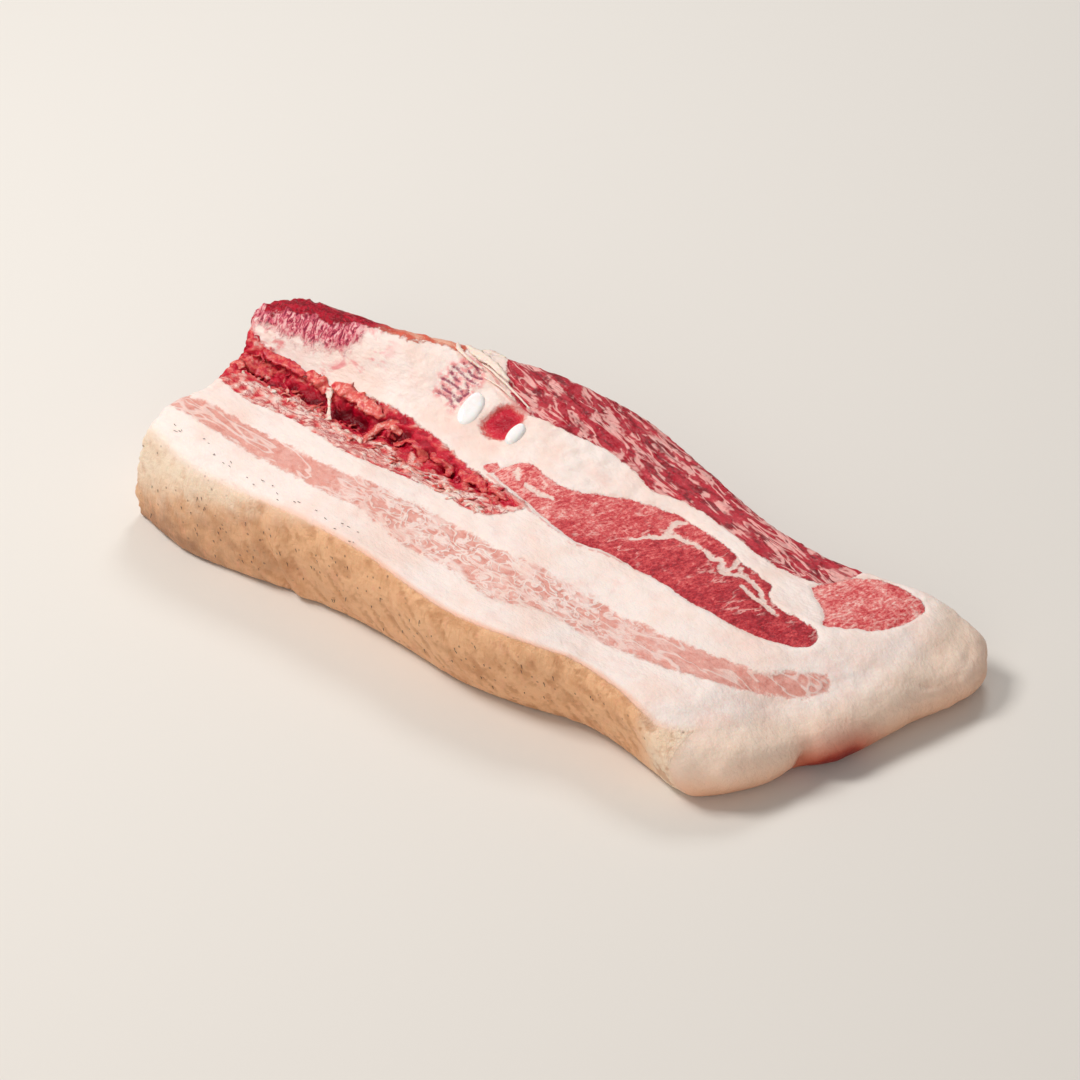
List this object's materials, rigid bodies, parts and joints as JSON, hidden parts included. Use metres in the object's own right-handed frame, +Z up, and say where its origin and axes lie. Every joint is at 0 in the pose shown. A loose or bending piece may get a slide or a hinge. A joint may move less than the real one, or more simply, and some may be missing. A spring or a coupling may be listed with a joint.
{
  "type": "raw pork belly slab",
  "caption": "Thick strip of raw pork belly with rind along one side, layered fat and lean, a raised muscle at one corner and rib cartilage at the cut.",
  "frame": {"origin": "on the resting plane under the middle of the strip's box", "axes": "+X along the strip from the thick cut end to the rounded fat end, +Y from the rind to the rib side, +Z up out of the upper cut face"},
  "size_m": [0.176, 0.0856, 0.0319],
  "materials": {
    "meat": "moist raw fat, lean and rind",
    "cartilage": "wet white cartilage"
  },
  "bodies": {
    "root": {"belly_meat": "meat", "cartilage_large": "cartilage", "cartilage_small": "cartilage"}
  },
  "joints": []
}
